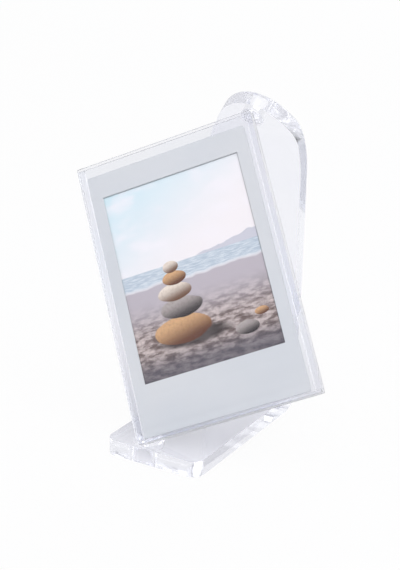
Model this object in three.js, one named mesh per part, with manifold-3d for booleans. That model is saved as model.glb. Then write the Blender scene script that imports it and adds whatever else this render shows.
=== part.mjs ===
// Swivelling photo frame of clear acrylic, for one small instant print.
// A bent strip stands on the table. The flat frame hangs on its diagonal between
// a hole in the strip's base and a hole in its leaning head.
// Millimetres, +Z up. The front of the base looks along -Y.
// The origin is on the table, under the middle of the base.
// The strip's bends are laid out from the base's front edge and moved there last.
import * as THREE from 'three';
import { mergeVertices } from 'three/addons/utils/BufferGeometryUtils.js';
import Module from 'manifold-3d';

// From the base's front edge back to the origin
const originFromFront = 28;

// Strip that the stand is bent from
const stripWidth = 33;
const stripThickness = 5;
const frontCornerRadius = 4;
const lowerBendRadius = 3.5;
const upperBendRadius = 8;
const headLean = 36;
const headReach = 10.2;
const tongueLength = 26;

// Holes that the frame's two corners sit in
const baseHoleRadius = 5;
const baseHoleFromFront = 6.6;
const baseHoleOffset = -4.8;
const headHoleRadius = 3.8;
const headHoleFromTip = 6;
const headHoleOffset = 1.1;

// Where the corners sit, off the holes' centres: the lower one to the left and forward,
// the upper one to the right and towards the head's tip
const baseSeatAcross = 1;
const headSeatAcross = -0.5;
const baseSeatAlong = 2.3;
const headSeatAlong = 2.1;

// Instant print, made of a border sheet, a picture sheet, a pod and a backing sheet
const printWidth = 54;
const printHeight = 86;
const printCornerRadius = 0.8;
const windowFromSide = 4;
const windowFromTop = 7.8;
const windowFromBottom = 16.2;
const pictureOverlap = 2;
const podFromSide = 3;
const podFromBottom = 3;
const podHeight = 8;
const podCornerRadius = 2;
const borderThickness = 0.25;
const pictureThickness = 0.2;
const backingThickness = 0.25;
const sheetGap = 0.15;

// Frame: two panels with three strips between them, open along the top edge
const panelThickness = 1.1;
const spacerThickness = 1.2;
const glueGap = 0.2;
const frameCornerRadius = 0.6;
const sideStripWidth = 2.1;
const bottomStripWidth = 1;
const printRest = 0.3;
const roomBesidePrint = 1.3;
const roomAbovePrint = 3.7;

// The frame is as large as the print, its strips and the room left round it
const frameWidth = printWidth + 2 * sideStripWidth + printRest + roomBesidePrint;
const frameHeight = printHeight + bottomStripWidth + printRest + roomAbovePrint;

// How the frame stands
const frameLean = 28.3;
const frameTurn = 7;
const cornerDepthInBase = 1.7;
const cornerDepthInHead = 0.6;

// Facets
const cornerSteps = 8;
const bendSteps = 10;
const tongueSteps = 24;
const holeSides = 48;
const closestStations = 0.02;
const weldDistance = 0.0001;

// Finishes
const clearPanel = { color: 0xeef0f8, roughness: 0.05, opacity: 0.35 };
const clearStrip = { color: 0xeef0f8, roughness: 0.1, opacity: 0.35 };
const satinBorder = { color: 0xd0d6df, roughness: 0.45, opacity: 1 };
const glossyPicture = { color: 0xa89c94, roughness: 0.3, opacity: 1 };
const podPaper = { color: 0xc9ccd2, roughness: 0.5, opacity: 1 };
const paleBacking = { color: 0xe2e4e8, roughness: 0.6, opacity: 1 };

const radians = THREE.MathUtils.degToRad;
const wasm = await Module();
wasm.setup();

function toSolid(geometry) {
  const bare = geometry.clone();
  bare.deleteAttribute('normal');
  bare.deleteAttribute('uv');
  const merged = mergeVertices(bare, weldDistance);
  return new wasm.Manifold(new wasm.Mesh({
    numProp: 3,
    vertProperties: new Float32Array(merged.attributes.position.array),
    triVerts: new Uint32Array(merged.index.array),
  }));
}

function toGeometry(solid) {
  const mesh = solid.getMesh();
  const geometry = new THREE.BufferGeometry();
  geometry.setAttribute('position', new THREE.BufferAttribute(mesh.vertProperties, 3));
  geometry.setIndex(new THREE.BufferAttribute(mesh.triVerts, 1));
  geometry.computeVertexNormals();
  return geometry;
}

function cylinderAlong(radius, length, centre, direction) {
  const geometry = new THREE.CylinderGeometry(radius, radius, length, holeSides);
  const turn = new THREE.Quaternion();
  turn.setFromUnitVectors(new THREE.Vector3(0, 1, 0), direction);
  geometry.applyQuaternion(turn);
  geometry.translate(centre.x, centre.y, centre.z);
  return geometry;
}

// Each corner is a right angle, so its two edges spread unevenly about the diagonal.
// The swivel line runs midway between them, a little steeper than the diagonal does.
const meanDepth = (cornerDepthInBase + cornerDepthInHead) / 2;
const diagonalAngle = Math.atan2(frameWidth, frameHeight);
const diagonalLength = Math.hypot(frameWidth, frameHeight);
const unevenSpread = (1 / Math.tan(diagonalAngle) - Math.tan(diagonalAngle)) / 2;
const swivelAngle = diagonalAngle - Math.atan2(meanDepth * unevenSpread, diagonalLength / 2);

// Swivel line, through the two seats. A seat lies at half the corner's depth in its hole.
// It is off the hole's centre, to leave room for the edge that spreads the other way.
const seatSpacing = diagonalLength - meanDepth;
const sideways = (headHoleOffset + headSeatAcross - baseHoleOffset + baseSeatAcross) / seatSpacing;
const inPlane = Math.sqrt(1 - sideways * sideways);
const swivelAxis = new THREE.Vector3(
  sideways,
  inPlane * Math.sin(radians(frameLean)),
  inPlane * Math.cos(radians(frameLean)),
);
const headAngle = radians(headLean);
const headForward = new THREE.Vector3(0, -Math.sin(headAngle), Math.cos(headAngle));
const headNormal = new THREE.Vector3(0, Math.cos(headAngle), Math.sin(headAngle));
const seatInBase = cornerDepthInBase / 2 * swivelAxis.z;
const seatInHead = cornerDepthInHead / 2 * swivelAxis.dot(headNormal);
const baseHole = new THREE.Vector3(baseHoleOffset, baseHoleFromFront, stripThickness);
const baseSeat = baseHole.clone().add(new THREE.Vector3(-baseSeatAcross, -baseSeatAlong, -seatInBase));
const headSeat = baseSeat.clone().addScaledVector(swivelAxis, seatSpacing);
const headHole = headSeat.clone();
headHole.x -= headSeatAcross;
headHole.addScaledVector(headForward, -headSeatAlong);
headHole.addScaledVector(headNormal, -seatInHead);

// Bend line of the strip, worked out back from the head's hole
const holeFromBend = headReach - headHoleFromTip;
const upperCentreZ = headHole.z - holeFromBend * headForward.z - upperBendRadius * headNormal.z;
const uprightFront = headHole.y - holeFromBend * headForward.y
  + upperBendRadius * (1 - headNormal.y);

// Lengths along the middle of the strip
const middle = stripThickness / 2;
const lowerRadius = lowerBendRadius + middle;
const upperRadius = upperBendRadius + middle;
const baseLength = uprightFront - lowerBendRadius;
const lowerBendLength = lowerRadius * Math.PI / 2;
const uprightLength = upperCentreZ - stripThickness - lowerBendRadius;
const upperBendLength = upperRadius * headAngle;
const uprightStart = baseLength + lowerBendLength;
const upperBendStart = uprightStart + uprightLength;
const headStart = upperBendStart + upperBendLength;
const stripLength = headStart + headReach;
const tongueStart = stripLength - tongueLength;

// Point of the bent strip: across it, along it, and off its middle towards the back or underside
function stripPoint(across, along, off) {
  let y = along;
  let z = middle - off;
  if (along > headStart) {
    const beyond = along - headStart;
    const radius = upperRadius + off;
    y = uprightFront - upperBendRadius + radius * headNormal.y + beyond * headForward.y;
    z = upperCentreZ + radius * headNormal.z + beyond * headForward.z;
  } else if (along > upperBendStart) {
    const angle = (along - upperBendStart) / upperRadius;
    const radius = upperRadius + off;
    y = uprightFront - upperBendRadius + radius * Math.cos(angle);
    z = upperCentreZ + radius * Math.sin(angle);
  } else if (along > uprightStart) {
    y = uprightFront + middle + off;
    z = stripThickness + lowerBendRadius + along - uprightStart;
  } else if (along > baseLength) {
    const angle = (along - baseLength) / lowerRadius;
    const radius = lowerRadius + off;
    y = baseLength + radius * Math.sin(angle);
    z = stripThickness + lowerBendRadius - radius * Math.cos(angle);
  }
  return [across, y, z];
}

function halfWidthAt(along) {
  const full = stripWidth / 2;
  if (along < frontCornerRadius) {
    const missing = frontCornerRadius - along;
    return full - frontCornerRadius + Math.sqrt(frontCornerRadius ** 2 - missing ** 2);
  }
  if (along > tongueStart) {
    const share = (along - tongueStart) / tongueLength;
    return full * Math.sqrt(Math.max(1 - share * share, 0));
  }
  return full;
}

function stationsAlong() {
  const stations = [];
  for (let step = 0; step <= cornerSteps; step += 1) {
    stations.push(frontCornerRadius * (1 - Math.cos(step / cornerSteps * Math.PI / 2)));
  }
  for (let step = 0; step <= bendSteps; step += 1) {
    stations.push(baseLength + lowerBendLength * step / bendSteps);
    stations.push(upperBendStart + upperBendLength * step / bendSteps);
  }
  for (let step = 0; step < tongueSteps; step += 1) {
    stations.push(tongueStart + tongueLength * Math.sin(step / tongueSteps * Math.PI / 2));
  }
  stations.sort((a, b) => a - b);
  return stations.filter((along, index) => (
    index === 0 || along - stations[index - 1] > closestStations));
}

function bentStrip() {
  const stations = stationsAlong();
  const positions = [];
  const faces = [];
  for (const along of stations) {
    const half = halfWidthAt(along);
    positions.push(...stripPoint(-half, along, middle));
    positions.push(...stripPoint(half, along, middle));
    positions.push(...stripPoint(half, along, -middle));
    positions.push(...stripPoint(-half, along, -middle));
  }
  for (let index = 0; index + 1 < stations.length; index += 1) {
    const here = index * 4;
    const next = here + 4;
    for (let side = 0; side < 4; side += 1) {
      const other = (side + 1) % 4;
      faces.push(here + side, next + side, here + other);
      faces.push(here + other, next + side, next + other);
    }
  }
  const last = (stations.length - 1) * 4;
  faces.push(0, 1, 2, 0, 2, 3);
  faces.push(last, last + 2, last + 1, last, last + 3, last + 2);
  const geometry = new THREE.BufferGeometry();
  geometry.setAttribute('position', new THREE.Float32BufferAttribute(positions, 3));
  geometry.setIndex(faces);
  return geometry;
}

function standGeometry() {
  const cutLength = stripThickness * 3;
  const up = new THREE.Vector3(0, 0, 1);
  const baseCut = cylinderAlong(baseHoleRadius, cutLength, baseHole, up);
  const headCut = cylinderAlong(headHoleRadius, cutLength, headHole, headNormal);
  return toGeometry(toSolid(bentStrip()).subtract(toSolid(baseCut)).subtract(toSolid(headCut)));
}

// Outline of a sheet with rounded corners, its lower left corner at left, bottom
function roundedSheet(left, bottom, width, height, radius) {
  const shape = new THREE.Shape();
  const right = left + width;
  const top = bottom + height;
  shape.moveTo(left + radius, bottom);
  shape.lineTo(right - radius, bottom);
  shape.absarc(right - radius, bottom + radius, radius, -Math.PI / 2, 0, false);
  shape.lineTo(right, top - radius);
  shape.absarc(right - radius, top - radius, radius, 0, Math.PI / 2, false);
  shape.lineTo(left + radius, top);
  shape.absarc(left + radius, top - radius, radius, Math.PI / 2, Math.PI, false);
  shape.lineTo(left, bottom + radius);
  shape.absarc(left + radius, bottom + radius, radius, Math.PI, Math.PI * 1.5, false);
  return shape;
}

// Extrudes a shape in the frame's own plane, its back face at the given height
function sheetGeometry(shape, thickness, back) {
  const settings = { depth: thickness, bevelEnabled: false, curveSegments: cornerSteps };
  const geometry = new THREE.ExtrudeGeometry(shape, settings);
  geometry.translate(0, 0, back);
  return geometry;
}

function stripPiece(left, bottom, width, height) {
  const geometry = new THREE.BoxGeometry(width, height, spacerThickness);
  geometry.translate(left + width / 2, bottom + height / 2, 0);
  return geometry;
}

function named(name, geometry, finish) {
  const transparent = finish.opacity < 1;
  const material = new THREE.MeshStandardMaterial({ ...finish, transparent, metalness: 0 });
  const mesh = new THREE.Mesh(geometry, material);
  mesh.name = name;
  return mesh;
}

function framePieces() {
  const inner = spacerThickness / 2 + glueGap;
  const panel = roundedSheet(0, 0, frameWidth, frameHeight, frameCornerRadius);
  const sideBottom = bottomStripWidth + glueGap;
  const sideHeight = frameHeight - sideBottom - frameCornerRadius;
  const rightStrip = frameWidth - sideStripWidth;
  const bottomLength = frameWidth - 2 * frameCornerRadius;
  return [
    named('front_panel', sheetGeometry(panel, panelThickness, inner), clearPanel),
    named('back_panel', sheetGeometry(panel, panelThickness, -inner - panelThickness), clearPanel),
    named('left_spacer', stripPiece(0, sideBottom, sideStripWidth, sideHeight), clearStrip),
    named('right_spacer', stripPiece(rightStrip, sideBottom, sideStripWidth, sideHeight),
      clearStrip),
    named('bottom_spacer', stripPiece(frameCornerRadius, 0, bottomLength, bottomStripWidth),
      clearStrip),
  ];
}

function printPieces() {
  const left = sideStripWidth + printRest;
  const bottom = bottomStripWidth + printRest;
  const windowLeft = left + windowFromSide;
  const windowRight = left + printWidth - windowFromSide;
  const windowBottom = bottom + windowFromBottom;
  const windowTop = bottom + printHeight - windowFromTop;
  const total = backingThickness + pictureThickness + borderThickness + 2 * sheetGap;
  const backingBack = -total / 2;
  const pictureBack = backingBack + backingThickness + sheetGap;
  const borderBack = pictureBack + pictureThickness + sheetGap;
  const card = roundedSheet(left, bottom, printWidth, printHeight, printCornerRadius);
  const border = roundedSheet(left, bottom, printWidth, printHeight, printCornerRadius);
  const opening = new THREE.Path();
  opening.moveTo(windowLeft, windowBottom);
  opening.lineTo(windowLeft, windowTop);
  opening.lineTo(windowRight, windowTop);
  opening.lineTo(windowRight, windowBottom);
  opening.closePath();
  border.holes.push(opening);
  const picture = roundedSheet(windowLeft - pictureOverlap, windowBottom - pictureOverlap,
    windowRight - windowLeft + 2 * pictureOverlap, windowTop - windowBottom + 2 * pictureOverlap,
    printCornerRadius);
  const pod = roundedSheet(left + podFromSide, bottom + podFromBottom,
    printWidth - 2 * podFromSide, podHeight, podCornerRadius);
  return [
    named('print_backing', sheetGeometry(card, backingThickness, backingBack), paleBacking),
    named('print_picture', sheetGeometry(picture, pictureThickness, pictureBack), glossyPicture),
    named('print_pod', sheetGeometry(pod, pictureThickness, pictureBack), podPaper),
    named('print_border', sheetGeometry(border, borderThickness, borderBack), satinBorder),
  ];
}

// The frame's own axes: right along its short edge, up along its long edge, and out of its face
const level = new THREE.Vector3(1, 0, 0);
level.addScaledVector(swivelAxis, -swivelAxis.x).normalize();
level.applyAxisAngle(swivelAxis, radians(frameTurn));
const frameRight = new THREE.Vector3();
frameRight.addScaledVector(swivelAxis, Math.sin(swivelAngle));
frameRight.addScaledVector(level, Math.cos(swivelAngle));
const frameUp = new THREE.Vector3();
frameUp.addScaledVector(swivelAxis, Math.cos(swivelAngle));
frameUp.addScaledVector(level, -Math.sin(swivelAngle));
const frameOut = frameRight.clone().cross(frameUp);

// The frame's middle lies on the swivel line, half its diagonal above the lower corner
const middleFromSeat = (diagonalLength - cornerDepthInBase) / 2;
const frameMiddle = baseSeat.clone().addScaledVector(swivelAxis, middleFromSeat);
const frameCorner = frameMiddle.clone();
frameCorner.addScaledVector(frameRight, -frameWidth / 2);
frameCorner.addScaledVector(frameUp, -frameHeight / 2);

const frame = new THREE.Group();
frame.position.copy(frameCorner);
frame.quaternion.setFromRotationMatrix(
  new THREE.Matrix4().makeBasis(frameRight, frameUp, frameOut));
frame.add(...framePieces(), ...printPieces());

const photoFrame = new THREE.Group();
photoFrame.position.y = -originFromFront;
photoFrame.add(named('stand', standGeometry(), clearPanel), frame);

export default photoFrame;
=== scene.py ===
"""Clear acrylic photo frame, hung corner to corner on a bent stand, with a small instant print."""

import math

import bpy
from mathutils import Matrix, Quaternion, Vector


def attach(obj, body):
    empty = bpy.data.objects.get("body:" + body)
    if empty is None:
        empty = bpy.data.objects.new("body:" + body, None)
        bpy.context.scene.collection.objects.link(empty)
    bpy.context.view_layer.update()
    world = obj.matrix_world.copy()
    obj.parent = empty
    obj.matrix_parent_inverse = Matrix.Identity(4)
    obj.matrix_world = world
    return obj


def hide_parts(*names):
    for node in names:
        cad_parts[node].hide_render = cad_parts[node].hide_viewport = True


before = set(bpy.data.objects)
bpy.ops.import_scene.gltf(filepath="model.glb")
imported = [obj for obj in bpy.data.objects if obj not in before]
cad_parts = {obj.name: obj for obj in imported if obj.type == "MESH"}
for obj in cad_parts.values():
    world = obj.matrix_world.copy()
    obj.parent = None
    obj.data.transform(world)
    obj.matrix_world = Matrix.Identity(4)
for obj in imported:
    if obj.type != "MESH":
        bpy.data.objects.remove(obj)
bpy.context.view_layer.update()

MM = 0.001

# Stand: one strip of clear sheet, bent twice
ORIGIN_FROM_FRONT = 28 * MM
STRIP_HALF = 16.5 * MM
STRIP_THICK = 5 * MM
FRONT_CORNER = 4 * MM
LOWER_BEND = 3.5 * MM
UPPER_BEND = 8 * MM
HEAD_LEAN = math.radians(36)
HEAD_REACH = 10.2 * MM
TONGUE = 26 * MM
STAND_EDGE = 0.3 * MM

# The stand's two round holes, which hold the frame's own corners
BASE_HOLE_RADIUS = 5 * MM
BASE_HOLE_FROM_FRONT = 6.6 * MM
BASE_HOLE_OFFSET = -4.8 * MM
HEAD_HOLE_RADIUS = 3.8 * MM
HEAD_HOLE_FROM_TIP = 6 * MM
HEAD_HOLE_OFFSET = 1.1 * MM

# Where the corners sit: off the holes' centres, and how deep in them
BASE_SEAT_ACROSS = 1 * MM
BASE_SEAT_ALONG = 2.3 * MM
HEAD_SEAT_ACROSS = -0.5 * MM
HEAD_SEAT_ALONG = 2.1 * MM
DEPTH_IN_BASE = 1.7 * MM
DEPTH_IN_HEAD = 0.6 * MM
SWIVEL_LEAN = math.radians(28.3)
FRAME_TURN = math.radians(7)

# Print: backing, picture and pod, and the border over them
PRINT_WIDTH = 54 * MM
PRINT_HEIGHT = 86 * MM
PRINT_ROUND = 0.8 * MM
WINDOW_FROM_SIDE = 4 * MM
WINDOW_FROM_TOP = 7.8 * MM
WINDOW_FROM_BOTTOM = 16.2 * MM
WINDOW_WIDTH = PRINT_WIDTH - 2 * WINDOW_FROM_SIDE
WINDOW_HEIGHT = PRINT_HEIGHT - WINDOW_FROM_TOP - WINDOW_FROM_BOTTOM
PICTURE_OVERLAP = 2 * MM
POD_INSET = 3 * MM
POD_HEIGHT = 8 * MM
POD_ROUND = 2 * MM
BACKING_THICK = 0.25 * MM
PICTURE_THICK = 0.2 * MM
BORDER_THICK = 0.25 * MM
SHEET_GAP = 0.15 * MM
BACKING_BACK = -(BACKING_THICK + PICTURE_THICK + BORDER_THICK + 2 * SHEET_GAP) / 2
PICTURE_BACK = BACKING_BACK + BACKING_THICK + SHEET_GAP
BORDER_BACK = PICTURE_BACK + PICTURE_THICK + SHEET_GAP
BACKING_EDGE = 0.04 * MM
PICTURE_EDGE = 0.03 * MM
POD_EDGE = 0.05 * MM
BORDER_EDGE = 0.05 * MM

# Frame: two panels and three strips, as large as the print and the room left round it
PANEL = 1.1 * MM
SPACER = 1.2 * MM
GLUE = 0.2 * MM
SIDE_STRIP = 2.1 * MM
BOTTOM_STRIP = 1 * MM
PRINT_REST = 0.3 * MM
ROOM_BESIDE_PRINT = 1.3 * MM
ROOM_ABOVE_PRINT = 3.7 * MM
FRAME_WIDTH = PRINT_WIDTH + 2 * SIDE_STRIP + PRINT_REST + ROOM_BESIDE_PRINT
FRAME_HEIGHT = PRINT_HEIGHT + BOTTOM_STRIP + PRINT_REST + ROOM_ABOVE_PRINT
FRAME_ROUND = 0.6 * MM
PRINT_LEFT = SIDE_STRIP + PRINT_REST
PRINT_BOTTOM = BOTTOM_STRIP + PRINT_REST
PANEL_EDGE = 0.15 * MM
STRIP_EDGE = 0.08 * MM

# Finish of the acrylic. A perfect polish would trap light in the strip and darken its bends.
ACRYLIC_IOR = 1.49
POLISH_ROUGHNESS = 0.016
THROUGH_TINT = (0.98, 0.98, 0.985, 1)

# How finely curves are drawn
FRONT_STEPS = 12
BEND_STEPS = 16
TONGUE_STEPS = 44
HOLE_SIDES = 96
SHEET_CORNER_STEPS = 8
CLOSEST_STATIONS = 0.02 * MM

# Swivel line through the two seated corners. A corner's edges spread unevenly about the
# frame's diagonal, so the line runs a little steeper in the frame than the diagonal does.
DIAGONAL = math.hypot(FRAME_WIDTH, FRAME_HEIGHT)
DIAGONAL_ANGLE = math.atan2(FRAME_WIDTH, FRAME_HEIGHT)
MEAN_DEPTH = (DEPTH_IN_BASE + DEPTH_IN_HEAD) / 2
UNEVEN_SPREAD = (1 / math.tan(DIAGONAL_ANGLE) - math.tan(DIAGONAL_ANGLE)) / 2
SWIVEL_ANGLE = DIAGONAL_ANGLE - math.atan2(MEAN_DEPTH * UNEVEN_SPREAD, DIAGONAL / 2)
SEAT_SPACING = DIAGONAL - MEAN_DEPTH
SEATS_APART_ACROSS = HEAD_HOLE_OFFSET + HEAD_SEAT_ACROSS - BASE_HOLE_OFFSET + BASE_SEAT_ACROSS
SIDEWAYS = SEATS_APART_ACROSS / SEAT_SPACING
IN_PLANE = math.sqrt(1 - SIDEWAYS * SIDEWAYS)
SWIVEL_AXIS = Vector(
    (SIDEWAYS, IN_PLANE * math.sin(SWIVEL_LEAN), IN_PLANE * math.cos(SWIVEL_LEAN)))

# Holes and seats
HEAD_FORWARD = Vector((0, -math.sin(HEAD_LEAN), math.cos(HEAD_LEAN)))
HEAD_NORMAL = Vector((0, math.cos(HEAD_LEAN), math.sin(HEAD_LEAN)))
SEAT_IN_BASE = DEPTH_IN_BASE / 2 * SWIVEL_AXIS.z
SEAT_IN_HEAD = DEPTH_IN_HEAD / 2 * SWIVEL_AXIS.dot(HEAD_NORMAL)
BASE_HOLE = Vector((BASE_HOLE_OFFSET, BASE_HOLE_FROM_FRONT - ORIGIN_FROM_FRONT, STRIP_THICK))
BASE_SEAT = BASE_HOLE - Vector((BASE_SEAT_ACROSS, BASE_SEAT_ALONG, SEAT_IN_BASE))
HEAD_SEAT = BASE_SEAT + SWIVEL_AXIS * SEAT_SPACING
HEAD_HOLE = HEAD_SEAT - Vector((HEAD_SEAT_ACROSS, 0, 0))
HEAD_HOLE -= HEAD_FORWARD * HEAD_SEAT_ALONG + HEAD_NORMAL * SEAT_IN_HEAD

# Upper bend, worked out back from the head's hole
HOLE_FROM_BEND = HEAD_REACH - HEAD_HOLE_FROM_TIP
UPPER_CENTRE = HEAD_HOLE.z - HOLE_FROM_BEND * HEAD_FORWARD.z - UPPER_BEND * HEAD_NORMAL.z
UPRIGHT_FRONT = HEAD_HOLE.y + ORIGIN_FROM_FRONT - HOLE_FROM_BEND * HEAD_FORWARD.y
UPRIGHT_FRONT += UPPER_BEND * (1 - HEAD_NORMAL.y)

# Places along the middle of the strip, from its front end
LOWER_RADIUS = LOWER_BEND + STRIP_THICK / 2
UPPER_RADIUS = UPPER_BEND + STRIP_THICK / 2
BASE_END = UPRIGHT_FRONT - LOWER_BEND
LOWER_BEND_END = BASE_END + LOWER_RADIUS * math.pi / 2
UPPER_BEND_START = LOWER_BEND_END + UPPER_CENTRE - STRIP_THICK - LOWER_BEND
HEAD_START = UPPER_BEND_START + UPPER_RADIUS * HEAD_LEAN
TONGUE_START = HEAD_START + HEAD_REACH - TONGUE

# The frame's own axes: right along its short edge, up its long edge, and out of its face
LEVEL = (Vector((1, 0, 0)) - SWIVEL_AXIS * SWIVEL_AXIS.x).normalized()
LEVEL = Quaternion(SWIVEL_AXIS, FRAME_TURN) @ LEVEL
FRAME_RIGHT = SWIVEL_AXIS * math.sin(SWIVEL_ANGLE) + LEVEL * math.cos(SWIVEL_ANGLE)
FRAME_UP = SWIVEL_AXIS * math.cos(SWIVEL_ANGLE) - LEVEL * math.sin(SWIVEL_ANGLE)
FRAME_OUT = FRAME_RIGHT.cross(FRAME_UP)
FRAME_MIDDLE = BASE_SEAT + SWIVEL_AXIS * ((DIAGONAL - DEPTH_IN_BASE) / 2)
FRAME_CORNER = FRAME_MIDDLE - FRAME_RIGHT * (FRAME_WIDTH / 2) - FRAME_UP * (FRAME_HEIGHT / 2)
FRAME_TURNED = Matrix((FRAME_RIGHT, FRAME_UP, FRAME_OUT)).transposed().to_4x4()
FRAME_PLACE = Matrix.Translation(FRAME_CORNER) @ FRAME_TURNED


# Modelling helpers


def deselect():
    if bpy.context.object and bpy.context.object.mode != "OBJECT":
        bpy.ops.object.mode_set(mode="OBJECT")
    bpy.ops.object.select_all(action="DESELECT")


def pick(obj):
    deselect()
    obj.select_set(True)
    bpy.context.view_layer.objects.active = obj


def apply_modifiers(obj):
    pick(obj)
    for modifier in list(obj.modifiers):
        bpy.ops.object.modifier_apply(modifier=modifier.name)


def soften(obj, width, segments):
    """Rounds the sharp edges, as a polisher does, and keeps the flats flat."""
    bevel = obj.modifiers.new("edges", "BEVEL")
    bevel.width = width
    bevel.segments = segments
    bevel.limit_method = "ANGLE"
    bevel.angle_limit = math.radians(50)
    bevel.miter_outer = "MITER_ARC"
    apply_modifiers(obj)
    pick(obj)
    bpy.ops.object.shade_smooth_by_angle(angle=math.radians(30))
    flats = obj.modifiers.new("flats", "WEIGHTED_NORMAL")
    flats.keep_sharp = True
    apply_modifiers(obj)


def close_up(obj):
    """Merges doubles and turns every face outwards."""
    pick(obj)
    bpy.ops.object.mode_set(mode="EDIT")
    bpy.ops.mesh.select_all(action="SELECT")
    bpy.ops.mesh.remove_doubles(threshold=1e-6)
    bpy.ops.mesh.normals_make_consistent(inside=False)
    bpy.ops.object.mode_set(mode="OBJECT")


def cut_with(obj, cutter):
    cut = obj.modifiers.new("cut", "BOOLEAN")
    cut.operation = "DIFFERENCE"
    cut.solver = "EXACT"
    cut.object = cutter
    apply_modifiers(obj)
    bpy.data.objects.remove(cutter)


def place(obj, matrix):
    """Puts the place into the mesh, so that the object itself stays at the origin."""
    obj.matrix_world = matrix
    pick(obj)
    bpy.ops.object.transform_apply(location=True, rotation=True, scale=True)


def ready(obj, body, nodes, material):
    """Gives a finished piece its material and its body, and hides the CAD nodes that it stands for.
    """
    obj.data.materials.clear()
    obj.data.materials.append(material)
    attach(obj, body)
    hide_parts(*nodes)


# Materials


def srgb(red, green, blue):
    """A colour as it is seen, given as the numbers that nodes take."""
    def straight(value):
        return value / 12.92 if value <= 0.04045 else ((value + 0.055) / 1.055) ** 2.4
    return (straight(red), straight(green), straight(blue), 1)


class Nodes:
    """Writes a node tree as sums, so that a pattern reads like a formula."""

    def __init__(self, tree):
        self.tree = tree

    def add(self, kind, **settings):
        node = self.tree.nodes.new(kind)
        for name, value in settings.items():
            setattr(node, name, value)
        return node

    def feed(self, socket, value):
        if isinstance(value, bpy.types.NodeSocket):
            self.tree.links.new(value, socket)
        else:
            socket.default_value = value

    def math(self, operation, first, second=0.5, third=0.5):
        node = self.add("ShaderNodeMath", operation=operation)
        for socket, value in zip(node.inputs, (first, second, third)):
            self.feed(socket, value)
        return node.outputs[0]

    def step(self, value, low, high):
        """0 below low and 1 above high, with a soft change between."""
        node = self.add("ShaderNodeMapRange", interpolation_type="SMOOTHSTEP")
        self.feed(node.inputs["Value"], value)
        self.feed(node.inputs["From Min"], low)
        self.feed(node.inputs["From Max"], high)
        return node.outputs[0]

    def mix(self, share, first, second, blend="MIX"):
        node = self.add("ShaderNodeMix", data_type="RGBA", blend_type=blend)
        self.feed(node.inputs[0], share)
        self.feed(node.inputs[6], first)
        self.feed(node.inputs[7], second)
        return node.outputs[2]

    def noise(self, vector, scale, detail=3, roughness=0.5, stretch=None):
        if stretch:
            turned = self.add("ShaderNodeMapping")
            self.feed(turned.inputs["Vector"], vector)
            turned.inputs["Scale"].default_value = stretch
            vector = turned.outputs[0]
        node = self.add("ShaderNodeTexNoise")
        self.feed(node.inputs["Vector"], vector)
        node.inputs["Scale"].default_value = scale
        node.inputs["Detail"].default_value = detail
        node.inputs["Roughness"].default_value = roughness
        return node.outputs[0]

    def bump(self, shader, height, strength, distance):
        """Lifts the surface by a pattern, at most by the given distance in metres."""
        node = self.add("ShaderNodeBump")
        node.inputs["Strength"].default_value = strength
        node.inputs["Distance"].default_value = distance
        self.feed(node.inputs["Height"], height)
        self.feed(shader.inputs["Normal"], node.outputs[0])

    def group(self, tree, **values):
        node = self.add("ShaderNodeGroup", node_tree=tree)
        for name, value in values.items():
            self.feed(node.inputs[name], value)
        return node.outputs


def new_group(name, inputs, outputs):
    tree = bpy.data.node_groups.new(name, "ShaderNodeTree")
    for label, kind in inputs:
        tree.interface.new_socket(label, in_out="INPUT", socket_type="NodeSocket" + kind)
    for label, kind in outputs:
        tree.interface.new_socket(label, in_out="OUTPUT", socket_type="NodeSocket" + kind)
    nodes = Nodes(tree)
    source = nodes.add("NodeGroupInput").outputs
    sink = nodes.add("NodeGroupOutput").inputs
    return tree, nodes, source, sink


def new_material(name):
    material = bpy.data.materials.new(name)
    material.use_nodes = True
    nodes = Nodes(material.node_tree)
    shader = material.node_tree.nodes["Principled BSDF"]
    where = nodes.add("ShaderNodeTexCoord")
    return material, nodes, shader, where


def handling_marks():
    """Hairline scratches and faint finger smudges on a polished sheet."""
    tree, nodes, source, sink = new_group(
        "handling_marks",
        [("Place", "Vector"), ("Scratches", "Float"), ("Smudges", "Float")],
        [("Roughness", "Float"), ("Height", "Float")],
    )
    long_way = nodes.noise(source["Place"], 90, 4, 0.6, stretch=(1, 0.05, 22))
    long_way = nodes.step(long_way, 0.66, 0.7)
    cross_way = nodes.noise(source["Place"], 70, 4, 0.6, stretch=(24, 1, 0.06))
    cross_way = nodes.step(cross_way, 0.67, 0.71)
    hair = nodes.math("MAXIMUM", long_way, cross_way)
    hair = nodes.math("MULTIPLY", hair, source["Scratches"])
    smudge = nodes.step(nodes.noise(source["Place"], 45, 3, 0.55), 0.52, 0.72)
    smudge = nodes.math("MULTIPLY", smudge, source["Smudges"])
    nodes.feed(sink["Roughness"], nodes.math("ADD", smudge, nodes.math("MULTIPLY", hair, 0.12)))
    nodes.feed(sink["Height"], nodes.math("MULTIPLY", hair, -1))
    return tree


def paper_grain():
    """Fine tooth of coated paper, with a slow change of tone over the sheet."""
    tree, nodes, source, sink = new_group(
        "paper_grain",
        [("Place", "Vector"), ("Color", "Color"), ("Shade", "Color")],
        [("Color", "Color"), ("Roughness", "Float"), ("Height", "Float")],
    )
    slow = nodes.step(nodes.noise(source["Place"], 30, 3), 0.3, 0.75)
    tooth = nodes.noise(source["Place"], 2600, 2, 0.6)
    nodes.feed(sink["Color"], nodes.mix(slow, source["Color"], source["Shade"]))
    nodes.feed(sink["Roughness"], nodes.math("MULTIPLY_ADD", tooth, 0.12, 0.34))
    nodes.feed(sink["Height"], tooth)
    return tree


MARKS = handling_marks()
GRAIN = paper_grain()


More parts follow.
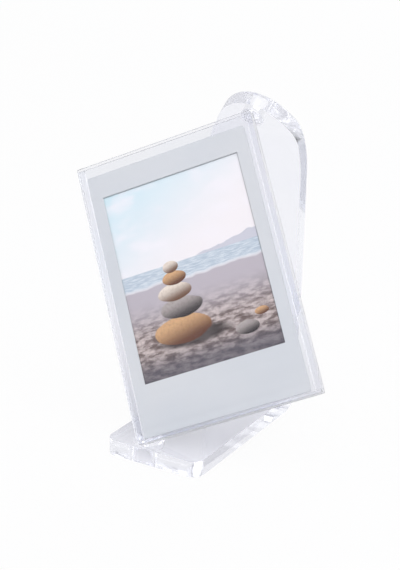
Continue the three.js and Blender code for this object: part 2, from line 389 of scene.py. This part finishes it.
def clear_acrylic(name, tint, shade, scratches, smudges, flat_side=None, edge_haze=0):
    """Polished clear acrylic. Lamps shine through it, so that what is behind it is lit.
    Faces that look away from the flat side can be hazy, as sawn edges are."""
    material, nodes, shader, where = new_material(name)
    marks = nodes.group(MARKS, Place=where.outputs["Object"], Scratches=scratches, Smudges=smudges)
    shader.inputs["Transmission Weight"].default_value = 1
    shader.inputs["IOR"].default_value = ACRYLIC_IOR
    shader.inputs["Metallic"].default_value = 0
    slow = nodes.step(nodes.noise(where.outputs["Object"], 25, 2), 0.3, 0.7)
    nodes.feed(shader.inputs["Base Color"], nodes.mix(slow, tint, shade))
    haze = nodes.math("ADD", marks["Roughness"], POLISH_ROUGHNESS)
    if flat_side:
        turned = nodes.add("ShaderNodeVectorMath", operation="DOT_PRODUCT")
        nodes.feed(turned.inputs[0], where.outputs["Normal"])
        turned.inputs[1].default_value = flat_side
        edge = nodes.step(nodes.math("ABSOLUTE", turned.outputs["Value"]), 0.97, 0.85)
        haze = nodes.math("MULTIPLY_ADD", edge, edge_haze, haze)
    nodes.feed(shader.inputs["Roughness"], haze)
    nodes.bump(shader, marks["Height"], 0.02, 0.005 * MM)
    path = nodes.add("ShaderNodeLightPath")
    clear = nodes.add("ShaderNodeBsdfTransparent")
    clear.inputs[0].default_value = THROUGH_TINT
    both = nodes.add("ShaderNodeMixShader")
    lit = nodes.math("MAXIMUM", path.outputs["Is Shadow Ray"], path.outputs["Is Diffuse Ray"])
    nodes.feed(both.inputs[0], lit)
    nodes.feed(both.inputs[1], shader.outputs[0])
    nodes.feed(both.inputs[2], clear.outputs[0])
    output = material.node_tree.nodes["Material Output"]
    nodes.feed(output.inputs["Surface"], both.outputs[0])
    return material


def print_border_finish():
    """Satin white border of the print, with the step of the pod under its foot."""
    material, nodes, shader, where = new_material("satin_print_border")
    grain = nodes.group(
        GRAIN, Place=where.outputs["Object"],
        Color=srgb(0.86, 0.87, 0.875), Shade=srgb(0.835, 0.85, 0.86),
    )
    nodes.feed(shader.inputs["Base Color"], grain["Color"])
    nodes.feed(shader.inputs["Roughness"], grain["Roughness"])
    shader.inputs["Specular IOR Level"].default_value = 0.4
    spot = nodes.add("ShaderNodeSeparateXYZ")
    nodes.feed(spot.inputs[0], where.outputs["UV"])
    pod_foot = nodes.step(spot.outputs["Y"], 0.022, 0.048)
    pod_head = nodes.step(spot.outputs["Y"], 0.146, 0.116)
    pod = nodes.math("MULTIPLY", pod_foot, pod_head)
    height = nodes.math("MULTIPLY_ADD", grain["Height"], 0.04, pod)
    nodes.bump(shader, height, 0.6, 0.15 * MM)
    return material


def pale_backing_finish():
    """Pale satin sheet at the back of the print."""
    material, nodes, shader, where = new_material("pale_print_backing")
    grain = nodes.group(
        GRAIN, Place=where.outputs["Object"],
        Color=srgb(0.9, 0.905, 0.92), Shade=srgb(0.87, 0.875, 0.89),
    )
    nodes.feed(shader.inputs["Base Color"], grain["Color"])
    nodes.feed(shader.inputs["Roughness"], nodes.math("ADD", grain["Roughness"], 0.1))
    nodes.bump(shader, grain["Height"], 0.2, 0.03 * MM)
    return material


def pebble_group():
    """One pebble of a stack: where it is on the picture, and how its light falls."""
    tree, nodes, source, sink = new_group(
        "pebble",
        [("Across", "Float"), ("Up", "Float"), ("Centre Across", "Float"), ("Centre Up", "Float"),
         ("Half Width", "Float"), ("Half Height", "Float"), ("Under", "Color"),
         ("Light", "Color"), ("Dark", "Color"), ("Place", "Vector")],
        [("Color", "Color")],
    )
    x = nodes.math("DIVIDE", nodes.math("SUBTRACT", source["Across"], source["Centre Across"]),
                   source["Half Width"])
    y = nodes.math("DIVIDE", nodes.math("SUBTRACT", source["Up"], source["Centre Up"]),
                   source["Half Height"])
    wobble = nodes.math("MULTIPLY_ADD", nodes.noise(source["Place"], 7, 2), 0.3, -0.15)
    far = nodes.math("ADD", nodes.math("MULTIPLY", x, x), nodes.math("MULTIPLY", y, y))
    far = nodes.math("ADD", nodes.math("SQRT", far), wobble)
    inside = nodes.step(far, 1.02, 0.96)
    speckle = nodes.step(nodes.noise(source["Place"], 60, 3, 0.7), 0.4, 0.75)
    lean = nodes.math("MULTIPLY_ADD", x, -0.35, nodes.math("MULTIPLY", y, 0.8))
    tone = nodes.mix(nodes.step(lean, -0.75, 0.7), source["Dark"], source["Light"])
    tone = nodes.mix(nodes.math("MULTIPLY", speckle, 0.25), tone, source["Dark"])
    nodes.feed(sink["Color"], nodes.mix(inside, source["Under"], tone))
    return tree


def sky_colour(nodes, place_on_picture, across, up):
    """Warm white above the sea and pale blue towards the upper left, with thin cloud."""
    blue = nodes.step(nodes.math("MULTIPLY_ADD", across, -0.45, up), 0.3, 1.0)
    sky = nodes.mix(blue, srgb(0.985, 0.965, 0.965), srgb(0.86, 0.945, 0.965))
    drift = nodes.noise(place_on_picture, 3.2, 5, 0.55, stretch=(1, 2.6, 1))
    cloud = nodes.math("MULTIPLY", nodes.step(drift, 0.45, 0.7), 0.7)
    return nodes.mix(cloud, sky, srgb(0.995, 0.98, 0.99))


def add_headland(nodes, place_on_picture, across, up, colour):
    """A low, hazy headland that rises towards the picture's right side."""
    ridge = nodes.noise(place_on_picture, 6, 4, 0.5, stretch=(1, 0, 1))
    ridge = nodes.math("MULTIPLY_ADD", ridge, 0.07, 0.525)
    rise = nodes.math("MULTIPLY", nodes.step(across, 0.5, 1.0), 0.045)
    above = nodes.math("SUBTRACT", up, nodes.math("ADD", ridge, rise))
    headland = nodes.step(above, 0.0, -0.006)
    headland = nodes.math("MULTIPLY", headland, nodes.step(across, 0.42, 0.62))
    return nodes.mix(nodes.math("MULTIPLY", headland, 0.75), colour, srgb(0.76, 0.77, 0.82))


def add_sea(nodes, place_on_picture, up, colour):
    """Sea with long, low swells, up to the horizon."""
    swell = nodes.noise(place_on_picture, 16, 4, 0.6, stretch=(1, 9, 1))
    swell = nodes.step(swell, 0.35, 0.7)
    sea = nodes.mix(swell, srgb(0.72, 0.78, 0.83), srgb(0.88, 0.91, 0.93))
    return nodes.mix(nodes.step(up, 0.556, 0.552), colour, sea)


def add_sand(nodes, place_on_picture, up, grit, colour):
    """Rippled sand, darkest close by and palest at the water, which ends in a line of foam."""
    shore = nodes.noise(place_on_picture, 4, 3, 0.5, stretch=(1, 0.4, 1))
    shore = nodes.math("MULTIPLY_ADD", shore, 0.07, 0.435)
    reach = nodes.math("SUBTRACT", up, shore)
    ripples = nodes.noise(place_on_picture, 11, 4, 0.6, stretch=(1, 3.4, 1))
    ripples = nodes.step(ripples, 0.36, 0.64)
    sand = nodes.mix(ripples, srgb(0.44, 0.37, 0.35), srgb(0.84, 0.78, 0.76))
    dark_grains = nodes.math("MULTIPLY", nodes.step(grit, 0.45, 0.7), 0.3)
    sand = nodes.mix(dark_grains, sand, srgb(0.32, 0.28, 0.28))
    near = nodes.math("MULTIPLY", nodes.step(up, 0.16, 0.03), 0.75)
    sand = nodes.mix(near, sand, srgb(0.3, 0.3, 0.35))
    wet = nodes.mix(nodes.step(up, 0.2, 0.42), sand, srgb(0.76, 0.73, 0.755))
    colour = nodes.mix(nodes.step(reach, 0.002, -0.004), colour, wet)
    foam = nodes.step(nodes.math("ABSOLUTE", reach), 0.012, 0.003)
    return nodes.mix(nodes.math("MULTIPLY", foam, 0.7), colour, srgb(0.93, 0.93, 0.94))


def add_stack_shadow(nodes, across, up, colour):
    """Soft oval shadow on the sand, under the stack and to its right."""
    x = nodes.math("DIVIDE", nodes.math("SUBTRACT", across, 0.42), 0.3)
    y = nodes.math("DIVIDE", nodes.math("SUBTRACT", up, 0.165), 0.05)
    far = nodes.math("ADD", nodes.math("MULTIPLY", x, x), nodes.math("MULTIPLY", y, y))
    shadow = nodes.math("MULTIPLY", nodes.step(far, 1.1, 0.3), 0.88)
    return nodes.mix(shadow, colour, srgb(0.16, 0.12, 0.11))


def add_pebbles(nodes, place_on_picture, across, up, colour):
    """Five stacked pebbles and two loose ones, as shares of the picture's width and height."""
    pebble = pebble_group()
    tan = srgb(0.87, 0.69, 0.5)
    rust = srgb(0.38, 0.21, 0.12)
    cream = srgb(0.95, 0.9, 0.84)
    brown = srgb(0.44, 0.3, 0.21)
    grey = srgb(0.72, 0.68, 0.66)
    slate = srgb(0.2, 0.17, 0.17)
    pebbles = [
        (0.35, 0.215, 0.2, 0.072, tan, rust),
        (0.37, 0.325, 0.155, 0.052, grey, slate),
        (0.345, 0.41, 0.125, 0.044, cream, brown),
        (0.365, 0.48, 0.085, 0.034, tan, rust),
        (0.355, 0.54, 0.055, 0.029, cream, brown),
        (0.78, 0.13, 0.085, 0.035, grey, slate),
        (0.9, 0.19, 0.05, 0.02, tan, rust),
    ]
    for centre, level, half_width, half_height, light, dark in pebbles:
        colour = nodes.group(pebble, **{
            "Across": across, "Up": up, "Centre Across": centre, "Centre Up": level,
            "Half Width": half_width, "Half Height": half_height, "Under": colour,
            "Light": light, "Dark": dark, "Place": place_on_picture,
        })["Color"]
    return colour


def picture_finish():
    """A quiet shore by day: pale sky, a strip of sea, sand, and a stack of pebbles."""
    material, nodes, shader, where = new_material("glossy_picture")
    place_on_picture = where.outputs["UV"]
    spot = nodes.add("ShaderNodeSeparateXYZ")
    nodes.feed(spot.inputs[0], place_on_picture)
    across = spot.outputs["X"]
    up = spot.outputs["Y"]
    grit = nodes.noise(place_on_picture, 70, 5, 0.7)

    colour = sky_colour(nodes, place_on_picture, across, up)
    colour = add_headland(nodes, place_on_picture, across, up, colour)
    colour = add_sea(nodes, place_on_picture, up, colour)
    colour = add_sand(nodes, place_on_picture, up, grit, colour)
    colour = add_stack_shadow(nodes, across, up, colour)
    colour = add_pebbles(nodes, place_on_picture, across, up, colour)

    # Painted shadow: a thin dark line along the picture's right and upper edge, where the border
    # casts its shade
    painted_edge_shadow = nodes.math("MAXIMUM", nodes.step(across, 0.991, 0.995), nodes.step(up, 0.994, 0.997))
    colour = nodes.mix(nodes.math("MULTIPLY", painted_edge_shadow, 0.45), colour, srgb(0.3, 0.31, 0.34))
    nodes.feed(shader.inputs["Base Color"], colour)
    nodes.feed(shader.inputs["Roughness"], nodes.math("MULTIPLY_ADD", grit, 0.08, 0.22))
    shader.inputs["Specular IOR Level"].default_value = 0.4
    nodes.bump(shader, nodes.noise(where.outputs["Object"], 900, 2), 0.08, 0.02 * MM)
    return material


# Stand


def half_width_at(along):
    """Half the strip's width: rounded at its front corners, half an ellipse at its head."""
    if along < FRONT_CORNER:
        missing = FRONT_CORNER - along
        return STRIP_HALF - FRONT_CORNER + math.sqrt(FRONT_CORNER ** 2 - missing ** 2)
    if along > TONGUE_START:
        share = min((along - TONGUE_START) / TONGUE, 1)
        return STRIP_HALF * math.sqrt(1 - share * share)
    return STRIP_HALF


def strip_stations():
    """Places along the strip where it gets a new section: only where it bends or narrows."""
    quarter = math.pi / 2
    stations = {FRONT_CORNER * (1 - math.cos(step / FRONT_STEPS * quarter))
                for step in range(FRONT_STEPS + 1)}
    stations |= {TONGUE_START + TONGUE * math.sin(step / TONGUE_STEPS * quarter)
                 for step in range(TONGUE_STEPS)}
    for start, end in ((BASE_END, LOWER_BEND_END), (UPPER_BEND_START, HEAD_START)):
        stations |= {start + (end - start) * step / BEND_STEPS for step in range(BEND_STEPS + 1)}
    ordered = sorted(stations)
    return ordered[:1] + [
        after for before, after in zip(ordered, ordered[1:]) if after - before > CLOSEST_STATIONS]


def lengthen_strip(before, after):
    """Draws the selected end of the strip out to the next station, straight or round a bend."""
    go = after - before
    halfway = (before + after) / 2
    if halfway < BASE_END:
        bpy.ops.mesh.extrude_region_move(TRANSFORM_OT_translate={"value": (0, go, 0)})
    elif halfway < LOWER_BEND_END:
        centre = (0, BASE_END - ORIGIN_FROM_FRONT, STRIP_THICK + LOWER_BEND)
        bpy.ops.mesh.spin(steps=1, angle=go / LOWER_RADIUS, center=centre, axis=(-1, 0, 0))
    elif halfway < UPPER_BEND_START:
        bpy.ops.mesh.extrude_region_move(TRANSFORM_OT_translate={"value": (0, 0, go)})
    elif halfway < HEAD_START:
        centre = (0, UPRIGHT_FRONT - UPPER_BEND - ORIGIN_FROM_FRONT, UPPER_CENTRE)
        bpy.ops.mesh.spin(steps=1, angle=go / UPPER_RADIUS, center=centre, axis=(-1, 0, 0))
    else:
        bpy.ops.mesh.extrude_region_move(TRANSFORM_OT_translate={"value": HEAD_FORWARD * go})


def drill(obj, radius, spot, tilt=0):
    """Cuts a round hole right through the strip."""
    deselect()
    bpy.ops.mesh.primitive_cylinder_add(
        vertices=HOLE_SIDES, radius=radius, depth=STRIP_THICK * 3,
        location=spot, rotation=(tilt, 0, 0))
    cut_with(obj, bpy.context.object)


def build_stand():
    """Draws the strip out from its front end, one section at a time, then drills it."""
    stations = strip_stations()
    width = half_width_at(0)
    deselect()
    bpy.ops.mesh.primitive_plane_add(
        size=1, location=(0, -ORIGIN_FROM_FRONT, STRIP_THICK / 2), rotation=(math.pi / 2, 0, 0))
    stand = bpy.context.object
    stand.name = "bent_stand"
    stand.scale = (width * 2, STRIP_THICK, 1)
    bpy.ops.object.transform_apply(location=True, rotation=True, scale=True)
    bpy.ops.object.mode_set(mode="EDIT")
    bpy.ops.mesh.select_all(action="SELECT")
    for before, after in zip(stations, stations[1:]):
        lengthen_strip(before, after)
        new_width = half_width_at(after)
        if not math.isclose(new_width, width):
            widening = (new_width / width, 1, 1)
            bpy.ops.transform.resize(value=widening, center_override=(0, 0, 0))
            width = new_width
    bpy.ops.object.mode_set(mode="OBJECT")
    close_up(stand)
    drill(stand, BASE_HOLE_RADIUS, BASE_HOLE)
    drill(stand, HEAD_HOLE_RADIUS, HEAD_HOLE, HEAD_LEAN - math.pi / 2)
    close_up(stand)
    soften(stand, STAND_EDGE, 3)
    return stand


# Frame and print


def sheet(name, corner, size, rounding, back, thickness, edge=0):
    """A flat sheet in the frame's own plane: cut out, its corners rounded, then thickened."""
    left, bottom = corner
    width, height = size
    deselect()
    bpy.ops.mesh.primitive_plane_add(
        size=1, location=(left + width / 2, bottom + height / 2, back))
    obj = bpy.context.object
    obj.name = name
    obj.scale = (width, height, 1)
    bpy.ops.object.transform_apply(location=True, rotation=True, scale=True)
    bpy.ops.object.mode_set(mode="EDIT")
    bpy.ops.mesh.select_all(action="SELECT")
    if rounding:
        bpy.ops.mesh.bevel(
            offset=rounding, segments=SHEET_CORNER_STEPS, affect="VERTICES", clamp_overlap=False)
        bpy.ops.mesh.select_all(action="SELECT")
    bpy.ops.mesh.extrude_region_move(TRANSFORM_OT_translate={"value": (0, 0, thickness)})
    bpy.ops.object.mode_set(mode="OBJECT")
    close_up(obj)
    if edge:
        soften(obj, edge, 2)
    return obj


def lay_uv(obj, corner, size):
    """Gives the sheet a map that runs once across and once up the given rectangle."""
    left, bottom = corner
    width, height = size
    layer = obj.data.uv_layers.get("UVMap") or obj.data.uv_layers.new(name="UVMap")
    for loop in obj.data.loops:
        point = obj.data.vertices[loop.vertex_index].co
        layer.data[loop.index].uv = ((point.x - left) / width, (point.y - bottom) / height)


def spacer_strip(name, corner, size):
    """One of the strips that hold the two panels apart."""
    return sheet(name, corner, size, 0, -SPACER / 2, SPACER, STRIP_EDGE)


def build_frame(acrylic):
    """Two panels with strips between them on the left, right and lower edge."""
    inner = SPACER / 2 + GLUE
    panel = (FRAME_WIDTH, FRAME_HEIGHT)
    side_bottom = BOTTOM_STRIP + GLUE
    side = (SIDE_STRIP, FRAME_HEIGHT - side_bottom - FRAME_ROUND)
    foot = (FRAME_WIDTH - 2 * FRAME_ROUND, BOTTOM_STRIP)
    pieces = {
        "front_panel": sheet("front_sheet", (0, 0), panel, FRAME_ROUND, inner, PANEL, PANEL_EDGE),
        "back_panel": sheet(
            "back_sheet", (0, 0), panel, FRAME_ROUND, -inner - PANEL, PANEL, PANEL_EDGE),
        "left_spacer": spacer_strip("left_strip", (0, side_bottom), side),
        "right_spacer": spacer_strip("right_strip", (FRAME_WIDTH - SIDE_STRIP, side_bottom), side),
        "bottom_spacer": spacer_strip("foot_strip", (FRAME_ROUND, 0), foot),
    }
    for node, piece in pieces.items():
        place(piece, FRAME_PLACE)
        ready(piece, "frame", [node], acrylic)


def cut_window(border, corner, size):
    """Opens the picture window right through the border sheet."""
    left, bottom = corner
    width, height = size
    deselect()
    bpy.ops.mesh.primitive_cube_add(
        size=1, location=(left + width / 2, bottom + height / 2, BORDER_BACK))
    cutter = bpy.context.object
    cutter.scale = (width, height, BORDER_THICK * 8)
    bpy.ops.object.transform_apply(location=True, rotation=True, scale=True)
    cut_with(border, cutter)
    close_up(border)
    soften(border, BORDER_EDGE, 2)


def build_print():
    """The instant print in its layers, from the backing sheet to the border."""
    border_finish = print_border_finish()
    backing_finish = pale_backing_finish()
    picture_look = picture_finish()
    corner = (PRINT_LEFT, PRINT_BOTTOM)
    card = (PRINT_WIDTH, PRINT_HEIGHT)
    window_left = PRINT_LEFT + WINDOW_FROM_SIDE
    window_bottom = PRINT_BOTTOM + WINDOW_FROM_BOTTOM
    window_corner = (window_left, window_bottom)
    window = (WINDOW_WIDTH, WINDOW_HEIGHT)
    backing = sheet(
        "backing_sheet", corner, card, PRINT_ROUND, BACKING_BACK, BACKING_THICK, BACKING_EDGE)
    picture = sheet(
        "picture_sheet", (window_left - PICTURE_OVERLAP, window_bottom - PICTURE_OVERLAP),
        (WINDOW_WIDTH + 2 * PICTURE_OVERLAP, WINDOW_HEIGHT + 2 * PICTURE_OVERLAP),
        PRINT_ROUND, PICTURE_BACK, PICTURE_THICK, PICTURE_EDGE)
    pod = sheet(
        "pod_pouch", (PRINT_LEFT + POD_INSET, PRINT_BOTTOM + POD_INSET),
        (PRINT_WIDTH - 2 * POD_INSET, POD_HEIGHT), POD_ROUND, PICTURE_BACK, PICTURE_THICK, POD_EDGE)
    border = sheet("border_sheet", corner, card, PRINT_ROUND, BORDER_BACK, BORDER_THICK)
    cut_window(border, window_corner, window)
    lay_uv(picture, window_corner, window)
    lay_uv(border, corner, card)
    for piece, node, slot_name, look in (
        (backing, "print_backing", "print_back", backing_finish),
        (picture, "print_picture", "picture", picture_look),
        (pod, "print_pod", "pod", border_finish),
        (border, "print_border", "border", border_finish),
    ):
        place(piece, FRAME_PLACE)
        ready(piece, "print", [node], look)


# Floor, light and camera

# The floor's own glow as the camera sees it, and as seen through the acrylic, where it glows less
# near the object as painted shade
FLOOR_SIZE = 6
FLOOR_DROP = 0.05 * MM
FLOOR_SEEN = 0.93
FLOOR_THROUGH_PAINTED_SHADE = 0.25
FLOOR_THROUGH_FAR = 0.85
FLOOR_NEAR = 40 * MM
FLOOR_FAR = 140 * MM

# The room lights the object, and looks a little brighter through the acrylic
ROOM_STRENGTH = 0.8
ROOM_STRENGTH_THROUGH = 0.93
LAMP_AIM = Vector((0, 0, 50)) * MM

# Camera, fitted to the photograph's edges
CAMERA_TURN = math.radians(29.964)
CAMERA_RISE = math.radians(19.267)
CAMERA_ROLL = math.radians(1.221)
CAMERA_AIM = Vector((0, -3, 50)) * MM
CAMERA_DISTANCE = 424.338 * MM
SENSOR_MM = 36
IMAGE_HEIGHT_PIXELS = 570
FOCAL_LENGTH_PIXELS = 1392.84
SHIFT_ACROSS_PIXELS = 4.594
SHIFT_UP_PIXELS = 1.859


def build_floor():
    """Near white to the camera. Through the acrylic it glows less near the object, as painted shade
    there, and more away from it.
    """
    deselect()
    bpy.ops.mesh.primitive_plane_add(size=FLOOR_SIZE, location=(0, 0, -FLOOR_DROP))
    floor = bpy.context.object
    floor.name = "pale_floor"
    material, nodes, shader, where = new_material("pale_floor")
    shader.inputs["Base Color"].default_value = srgb(0.86, 0.86, 0.87)
    shader.inputs["Roughness"].default_value = 0.9
    shader.inputs["Specular IOR Level"].default_value = 0
    glow = nodes.add("ShaderNodeEmission")
    glow.inputs["Strength"].default_value = 1
    path = nodes.add("ShaderNodeLightPath")
    away = nodes.add("ShaderNodeVectorMath", operation="LENGTH")
    nodes.feed(away.inputs[0], where.outputs["Object"])
    # Painted shade: seen through the acrylic, the floor glows less close to the object, so it shows
    # darker there
    far = nodes.step(away.outputs["Value"], FLOOR_NEAR, FLOOR_FAR)
    beyond = nodes.math(
        "MULTIPLY_ADD", far, FLOOR_THROUGH_FAR - FLOOR_THROUGH_PAINTED_SHADE, FLOOR_THROUGH_PAINTED_SHADE)
    glow_seen = nodes.math("MULTIPLY", path.outputs["Is Camera Ray"], FLOOR_SEEN)
    glow_through = nodes.math("MULTIPLY", path.outputs["Is Transmission Ray"], beyond)
    both = nodes.add("ShaderNodeMixShader")
    nodes.feed(both.inputs[0], nodes.math("MAXIMUM", glow_seen, glow_through))
    nodes.feed(both.inputs[1], shader.outputs[0])
    nodes.feed(both.inputs[2], glow.outputs[0])
    nodes.feed(material.node_tree.nodes["Material Output"].inputs["Surface"], both.outputs[0])
    floor.data.materials.append(material)


def build_world():
    """White behind the object, and a pale room round it with a darker side towards -Y."""
    world = bpy.data.worlds.new("soft_room")
    bpy.context.scene.world = world
    world.use_nodes = True
    nodes = Nodes(world.node_tree)
    background = world.node_tree.nodes["Background"]
    where = nodes.add("ShaderNodeTexCoord")
    spot = nodes.add("ShaderNodeSeparateXYZ")
    nodes.feed(spot.inputs[0], where.outputs["Generated"])
    dark_side = nodes.step(spot.outputs["Y"], 0.0, -0.7)
    room = nodes.mix(dark_side, srgb(0.985, 0.985, 0.99), srgb(0.78, 0.78, 0.81))
    path = nodes.add("ShaderNodeLightPath")
    seen = path.outputs["Is Camera Ray"]
    nodes.feed(background.inputs["Color"], nodes.mix(seen, room, (1, 1, 1, 1)))
    strength = nodes.math(
        "MULTIPLY_ADD", path.outputs["Is Transmission Ray"],
        ROOM_STRENGTH_THROUGH - ROOM_STRENGTH, ROOM_STRENGTH)
    nodes.feed(background.inputs["Strength"], nodes.math("MAXIMUM", seen, strength))


def area_lamp(name, spot, size, power):
    """A round soft lamp, aimed at the middle of the object."""
    data = bpy.data.lights.new(name, "AREA")
    data.shape = "DISK"
    data.size = size
    data.energy = power
    lamp = bpy.data.objects.new(name, data)
    bpy.context.scene.collection.objects.link(lamp)
    lamp.location = spot
    lamp.rotation_euler = (LAMP_AIM - Vector(spot)).to_track_quat("-Z", "Y").to_euler()
    return lamp


def build_lamps():
    """Two soft lamps in front, and one behind for the back of the print, which reflections and
    refractions don't see.
    """
    area_lamp("key", spot=(0.45, -0.35, 1.05), size=1.6, power=9.2)
    area_lamp("fill", spot=(-0.9, -0.7, 0.45), size=1.2, power=3.4)
    back_lamp = area_lamp("back", spot=(-0.35, 1.1, 0.55), size=1.4, power=4)
    back_lamp.visible_glossy = False
    back_lamp.visible_transmission = False


def build_camera():
    """Looks down at the object from the front right, a little rolled."""
    level = math.cos(CAMERA_RISE)
    back = Vector((math.sin(CAMERA_TURN) * level, -math.cos(CAMERA_TURN) * level,
                   math.sin(CAMERA_RISE)))
    right = (-back).cross(Vector((0, 0, 1))).normalized()
    over = right.cross(-back)
    rolled_right = math.cos(CAMERA_ROLL) * right + math.sin(CAMERA_ROLL) * over
    rolled_over = -math.sin(CAMERA_ROLL) * right + math.cos(CAMERA_ROLL) * over
    data = bpy.data.cameras.new("camera")
    data.sensor_width = SENSOR_MM
    data.lens = FOCAL_LENGTH_PIXELS * SENSOR_MM / IMAGE_HEIGHT_PIXELS
    data.shift_x = SHIFT_ACROSS_PIXELS / IMAGE_HEIGHT_PIXELS
    data.shift_y = SHIFT_UP_PIXELS / IMAGE_HEIGHT_PIXELS
    data.clip_start = 10 * MM
    camera = bpy.data.objects.new("camera", data)
    bpy.context.scene.collection.objects.link(camera)
    turned = Matrix((rolled_right, rolled_over, back)).transposed().to_4x4()
    camera.matrix_world = Matrix.Translation(CAMERA_AIM + CAMERA_DISTANCE * back) @ turned
    bpy.context.scene.camera = camera


build_camera()
build_floor()
build_world()
build_lamps()

stand_acrylic = clear_acrylic(
    "thick_clear_acrylic", tint=srgb(0.972, 0.974, 0.99), shade=srgb(0.962, 0.966, 0.988),
    scratches=1, smudges=0.02)
sheet_acrylic = clear_acrylic(
    "thin_clear_acrylic", tint=srgb(0.99, 0.99, 0.995), shade=srgb(0.98, 0.985, 0.995),
    scratches=1, smudges=0.015, flat_side=FRAME_OUT, edge_haze=0.3)
ready(build_stand(), "stand", ["stand"], stand_acrylic)
build_frame(sheet_acrylic)
build_print()

# Light that runs along inside the clear strip is turned back many times before it leaves
LIGHT_BOUNCES = 60
bpy.context.scene.cycles.max_bounces = LIGHT_BOUNCES
bpy.context.scene.cycles.glossy_bounces = LIGHT_BOUNCES
bpy.context.scene.cycles.transmission_bounces = LIGHT_BOUNCES
bpy.context.scene.view_settings.view_transform = "Standard"
